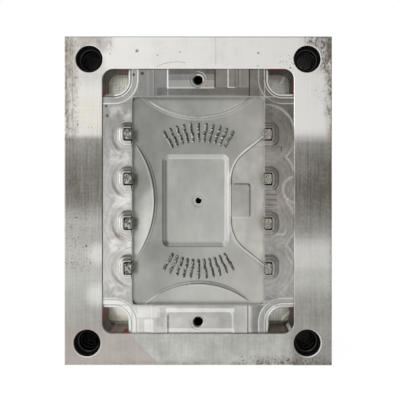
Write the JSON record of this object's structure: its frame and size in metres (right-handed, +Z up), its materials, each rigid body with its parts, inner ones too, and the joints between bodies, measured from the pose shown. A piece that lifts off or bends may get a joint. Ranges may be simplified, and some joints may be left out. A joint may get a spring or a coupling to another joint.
{
  "type": "injection mould half",
  "caption": "Fixed half of an injection mould: cavity plate with a pocketed cavity insert for a vented lid, guide bushes, clamp plate, sprue bush and locating ring.",
  "frame": {"origin": "centre of the bounding box at the bottom edge that the half stands on", "axes": "+Z up along the plates' long side, -Y out of the parting face, +Y out of the clamp plate, +X to the right as seen from the parting face"},
  "size_m": [0.26, 0.113, 0.32],
  "materials": {
    "ground_steel": "ground, worn, stained at the edges",
    "clamp_steel": "ground, lightly stained",
    "insert_steel": "milled strips, satin polished cavity",
    "bush_steel": "hardened, dark with oil",
    "former_steel": "spark eroded",
    "sprue_steel": "turned and polished",
    "pin_steel": "ground",
    "ring_steel": "turned",
    "screw_black": "black oxide",
    "seal_rubber": "smooth",
    "plug_brass": "turned"
  },
  "bodies": {
    "root": {"cavity_plate": "ground_steel", "clamp_plate": "clamp_steel", "cavity_insert": "insert_steel", "guide_bush_top_left": "bush_steel", "guide_bush_top_right": "bush_steel", "guide_bush_bottom_left": "bush_steel", "guide_bush_bottom_right": "bush_steel", "sprue_bush": "sprue_steel", "sprue_key_pin": "pin_steel", "locating_ring": "ring_steel", "locating_ring_screws": "screw_black", "clamp_plate_screws": "screw_black", "insert_screws": "screw_black", "port_former_left_1": "former_steel", "port_former_left_2": "former_steel", "port_former_left_3": "former_steel", "port_former_left_4": "former_steel", "port_former_right_1": "former_steel", "port_former_right_2": "former_steel", "port_former_right_3": "former_steel", "port_former_right_4": "former_steel", "water_seal_upper_left": "seal_rubber", "water_seal_upper_right": "seal_rubber", "water_seal_lower_left": "seal_rubber", "water_seal_lower_right": "seal_rubber", "channel_plug_upper": "plug_brass", "channel_plug_lower": "plug_brass"}
  },
  "joints": []
}
